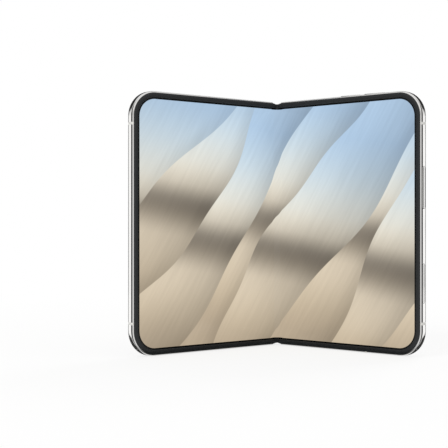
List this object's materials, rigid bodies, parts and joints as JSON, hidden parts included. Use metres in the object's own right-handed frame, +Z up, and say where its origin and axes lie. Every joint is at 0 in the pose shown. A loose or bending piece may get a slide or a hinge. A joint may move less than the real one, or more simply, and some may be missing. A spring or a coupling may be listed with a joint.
{
  "type": "foldable smartphone",
  "caption": "Book-style foldable phone standing half open: flexible inner screen in a raised black border, polished frame, geared spine hinge, round cameras on a raised bar, side buttons.",
  "frame": {"origin": "bottom centre of the object's bounding box, on the surface that it stands on", "axes": "X to the right across the fold as seen by the user, Y away from the user through the spine, Z up along the fold"},
  "size_m": [0.1342, 0.0558, 0.1209],
  "materials": {
    "frame_metal": "mirror-polished metal",
    "back_glass": "white lacquer under glossy glass",
    "screen_black": "glossy black",
    "bezel_black": "satin black rubbery polymer",
    "screen_film": "glossy polymer film over a lit screen",
    "lens_glass": "coated glass",
    "steel": "bright rolled steel",
    "spring_steel": "tempered steel",
    "brass": "sintered brass",
    "band": "satin moulded polymer",
    "flash": "frosted clear polymer",
    "circuit": "solder resist",
    "amber_film": "polyimide film",
    "cell": "matt foil pouch",
    "dark_part": "matt moulded polymer",
    "copper": "enamelled copper"
  },
  "bodies": {
    "spine": {"spine_cover": "frame_metal", "gear_housings": "bezel_black", "hinge_caps": "bezel_black", "hinge_brackets": "steel", "hinge_pins": "steel", "hinge_springs": "spring_steel", "display_fold": "screen_film", "fold_backing": "steel", "hinge_flex": "amber_film"},
    "left_half": {"left_frame": "frame_metal", "left_antenna_bands": "band", "left_bezel": "bezel_black", "display_left": "screen_film", "left_backing": "steel", "left_hinge_arms": "steel", "left_hinge_screws": "steel", "cover_glass": "lens_glass", "cover_display": "screen_black", "cover_camera": "dark_part", "left_battery": "cell", "left_board": "circuit", "earpiece_speaker": "dark_part", "left_magnets": "steel"},
    "right_half": {"right_frame": "frame_metal", "right_antenna_bands": "band", "right_bezel": "bezel_black", "display_right": "screen_film", "right_backing": "steel", "right_hinge_arms": "steel", "right_hinge_screws": "steel", "back_glass": "back_glass", "main_camera_ring": "frame_metal", "wide_camera_ring": "frame_metal", "main_lens_glass": "lens_glass", "wide_lens_glass": "lens_glass", "main_camera": "dark_part", "wide_camera": "dark_part", "flash_lens": "flash", "flash_led": "flash", "rear_microphone": "steel", "button_switches": "dark_part", "right_battery": "cell", "logic_board": "circuit", "board_shields": "steel", "usb_c_port": "steel", "bottom_speaker": "dark_part", "haptic_motor": "steel", "charging_coil": "copper", "charging_magnets": "steel", "right_magnets": "steel", "bottom_screws": "steel"},
    "side_button": {"side_button": "frame_metal"},
    "volume_up": {"volume_up_button": "frame_metal"},
    "volume_down": {"volume_down_button": "frame_metal"},
    "camera_control": {"camera_control": "frame_metal"},
    "idler_bottom_left": {"idler_bottom_left": "brass"},
    "idler_bottom_right": {"idler_bottom_right": "brass"},
    "idler_top_left": {"idler_top_left": "brass"},
    "idler_top_right": {"idler_top_right": "brass"}
  },
  "joints": [
    {"name": "left_fold", "type": "hinge", "parent": "spine", "child": "left_half", "pos_m": [-0.00165, 0.02467, 0.06], "axis": [0, 0, 1], "range_deg": [-39, 51], "deforming": ["display_fold", "fold_backing", "hinge_flex"]},
    {"name": "right_fold", "type": "hinge", "parent": "spine", "child": "right_half", "pos_m": [0.00165, 0.02467, 0.06], "axis": [0, 0, 1], "range_deg": [-51, 39]},
    {"name": "idler_bottom_left_spin", "type": "hinge", "parent": "spine", "child": "idler_bottom_left", "pos_m": [-0.00069, 0.02566, 0.00225], "axis": [0, 0, 1], "range_deg": [-51, 39]},
    {"name": "idler_bottom_right_spin", "type": "hinge", "parent": "spine", "child": "idler_bottom_right", "pos_m": [0.00069, 0.02566, 0.00225], "axis": [0, 0, 1], "range_deg": [-39, 51]},
    {"name": "idler_top_left_spin", "type": "hinge", "parent": "spine", "child": "idler_top_left", "pos_m": [-0.00069, 0.02566, 0.11835], "axis": [0, 0, 1], "range_deg": [-51, 39]},
    {"name": "idler_top_right_spin", "type": "hinge", "parent": "spine", "child": "idler_top_right", "pos_m": [0.00069, 0.02566, 0.11835], "axis": [0, 0, 1], "range_deg": [-39, 51]},
    {"name": "side_button_press", "type": "slide", "parent": "right_half", "child": "side_button", "axis": [-0.7771, 0.6293, 0], "range_m": [0, 0.00025], "stiffness_N_per_m": 3000},
    {"name": "camera_control_press", "type": "slide", "parent": "right_half", "child": "camera_control", "axis": [-0.7771, 0.6293, 0], "range_m": [0, 0.00015], "stiffness_N_per_m": 3000},
    {"name": "volume_up_press", "type": "slide", "parent": "right_half", "child": "volume_up", "axis": [0, 0, -1], "range_m": [0, 0.00025], "stiffness_N_per_m": 3000},
    {"name": "volume_down_press", "type": "slide", "parent": "right_half", "child": "volume_down", "axis": [0, 0, -1], "range_m": [0, 0.00025], "stiffness_N_per_m": 3000}
  ],
  "couplings": [
    {"joint": "right_fold", "follows": "left_fold", "ratio": -1},
    {"joint": "idler_bottom_left_spin", "follows": "left_fold", "ratio": -1},
    {"joint": "idler_bottom_right_spin", "follows": "left_fold", "ratio": 1},
    {"joint": "idler_top_left_spin", "follows": "left_fold", "ratio": -1},
    {"joint": "idler_top_right_spin", "follows": "left_fold", "ratio": 1}
  ]
}
